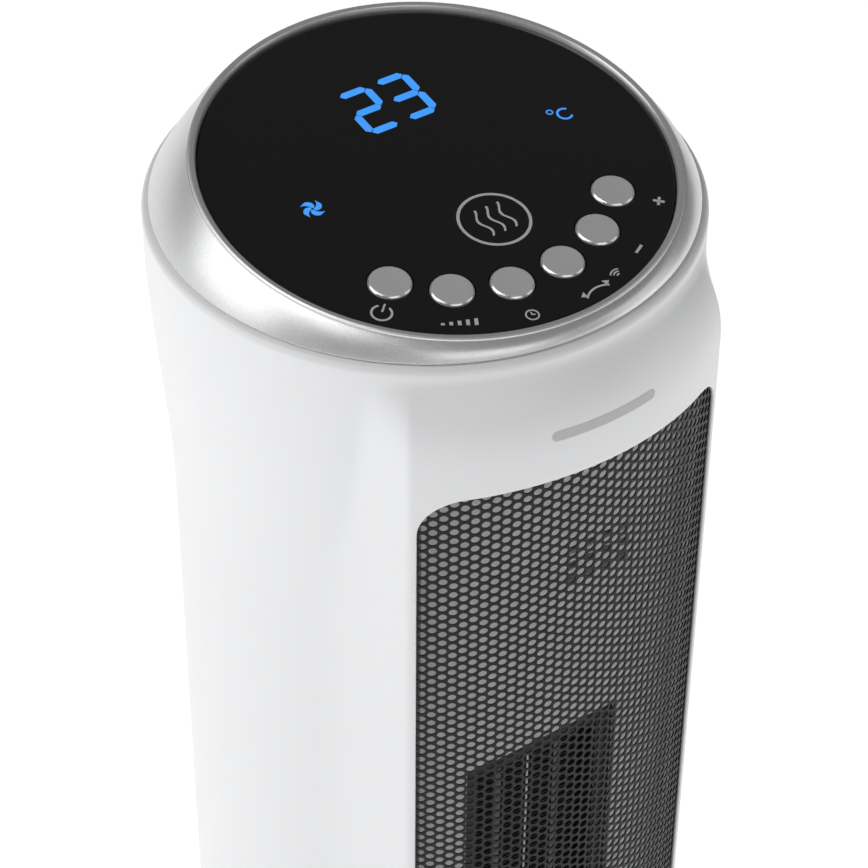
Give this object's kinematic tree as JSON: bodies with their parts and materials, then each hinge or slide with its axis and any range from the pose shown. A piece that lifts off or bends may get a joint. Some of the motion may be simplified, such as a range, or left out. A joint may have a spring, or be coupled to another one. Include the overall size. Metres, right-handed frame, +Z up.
{
  "type": "ceramic space heater",
  "caption": "Tower ceramic heater: a creased white casing with a perforated front grille and a tilted round touch panel, swinging on a round base.",
  "frame": {"origin": "on the floor, at the swing axis, which is the centre of the round base", "axes": "+Z up along the swing axis, -Y towards the front grille, +X to the viewer's right when facing the front"},
  "size_m": [0.2, 0.2, 0.5757],
  "materials": {
    "white_shell": "soft satin white moulding",
    "silver_bezel": "fine-grained silver paint on plastic",
    "panel_gloss": "polished black",
    "button_grey": "satin grey with a bright edge",
    "black_mesh": "black coated perforated sheet",
    "grey_moulding": "plain grey moulding",
    "black_moulding": "black moulding",
    "fin_metal": "dull corrugated strip",
    "heating_bar": "heating ceramic in an aluminium sleeve",
    "plain_steel": "plated steel",
    "nylon": "natural nylon",
    "circuit_board": "green board with parts",
    "display_window": "display behind the panel",
    "foot_rubber": "matt rubber"
  },
  "bodies": {
    "base": {"base_cover": "white_shell", "base_plate": "black_moulding", "foot_1": "foot_rubber", "foot_2": "foot_rubber", "foot_3": "foot_rubber", "foot_4": "foot_rubber", "base_screw_1": "plain_steel", "base_screw_2": "plain_steel", "base_screw_3": "plain_steel", "base_screw_4": "plain_steel", "ballast_plate": "plain_steel", "cord_gland": "foot_rubber", "swivel_post": "nylon", "post_screw_1": "plain_steel", "post_screw_2": "plain_steel", "thrust_ring": "nylon", "tilt_switch": "black_moulding"},
    "plunger": {"tilt_plunger": "nylon"},
    "tower": {"turntable": "grey_moulding", "retaining_clip": "plain_steel", "swing_motor": "plain_steel", "main_shell": "white_shell", "front_grille": "black_mesh", "inner_baffle": "grey_moulding", "heater_frame": "black_moulding", "fin_pack_1": "fin_metal", "fin_pack_2": "fin_metal", "fin_pack_3": "fin_metal", "fin_pack_4": "fin_metal", "ceramic_bar_1": "heating_bar", "ceramic_bar_2": "heating_bar", "electrode_strip": "plain_steel", "thermal_cutout": "plain_steel", "fan_scroll": "black_moulding", "upper_bush": "nylon", "motor_bracket": "plain_steel", "fan_motor": "plain_steel", "rocker_housing": "black_moulding", "power_board": "circuit_board", "bezel_ring": "silver_bezel", "panel_lens": "panel_gloss", "panel_carrier": "black_moulding", "control_board": "circuit_board", "display_module": "display_window"},
    "crank": {"swing_crank": "nylon"},
    "impeller": {"impeller": "black_moulding", "fan_shaft": "plain_steel"},
    "intake": {"intake_cover": "white_shell", "filter_screen": "black_mesh"},
    "rocker": {"rear_rocker": "black_moulding"},
    "button_power": {"button_power": "button_grey"},
    "button_heat": {"button_heat": "button_grey"},
    "button_timer": {"button_timer": "button_grey"},
    "button_swing": {"button_swing": "button_grey"},
    "button_minus": {"button_minus": "button_grey"},
    "button_plus": {"button_plus": "button_grey"}
  },
  "joints": [
    {"name": "swing", "type": "hinge", "parent": "base", "child": "tower", "pos_m": [0, 0, 0], "axis": [0, 0, 1], "range_deg": [-30, 30]},
    {"name": "crank_turn", "type": "hinge", "parent": "tower", "child": "crank", "pos_m": [0, 0.036, 0], "axis": [0, 0, 1], "range_deg": [-90, 90]},
    {"name": "impeller_spin", "type": "hinge", "parent": "tower", "child": "impeller", "pos_m": [0, 0.01, 0], "axis": [0, 0, 1], "continuous": true},
    {"name": "intake_pull", "type": "slide", "parent": "tower", "child": "intake", "axis": [0, 1, 0], "range_m": [0, 0.03]},
    {"name": "rocker_tilt", "type": "hinge", "parent": "tower", "child": "rocker", "pos_m": [0, 0.0705, 0.088], "axis": [1, 0, 0], "range_deg": [-16, 0]},
    {"name": "plunger_drop", "type": "slide", "parent": "base", "child": "plunger", "axis": [0, 0, -1], "range_m": [0, 0.003]},
    {"name": "press_power", "type": "slide", "parent": "tower", "child": "button_power", "axis": [0, 0.1335, -0.9911], "range_m": [0, 0.0004], "stiffness_N_per_m": 400},
    {"name": "press_heat", "type": "slide", "parent": "tower", "child": "button_heat", "axis": [0, 0.1335, -0.9911], "range_m": [0, 0.0004], "stiffness_N_per_m": 400},
    {"name": "press_timer", "type": "slide", "parent": "tower", "child": "button_timer", "axis": [0, 0.1335, -0.9911], "range_m": [0, 0.0004], "stiffness_N_per_m": 400},
    {"name": "press_swing", "type": "slide", "parent": "tower", "child": "button_swing", "axis": [0, 0.1335, -0.9911], "range_m": [0, 0.0004], "stiffness_N_per_m": 400},
    {"name": "press_minus", "type": "slide", "parent": "tower", "child": "button_minus", "axis": [0, 0.1335, -0.9911], "range_m": [0, 0.0004], "stiffness_N_per_m": 400},
    {"name": "press_plus", "type": "slide", "parent": "tower", "child": "button_plus", "axis": [0, 0.1335, -0.9911], "range_m": [0, 0.0004], "stiffness_N_per_m": 400}
  ],
  "couplings": [
    {"joint": "crank_turn", "follows": "swing", "ratio": -2.88}
  ]
}
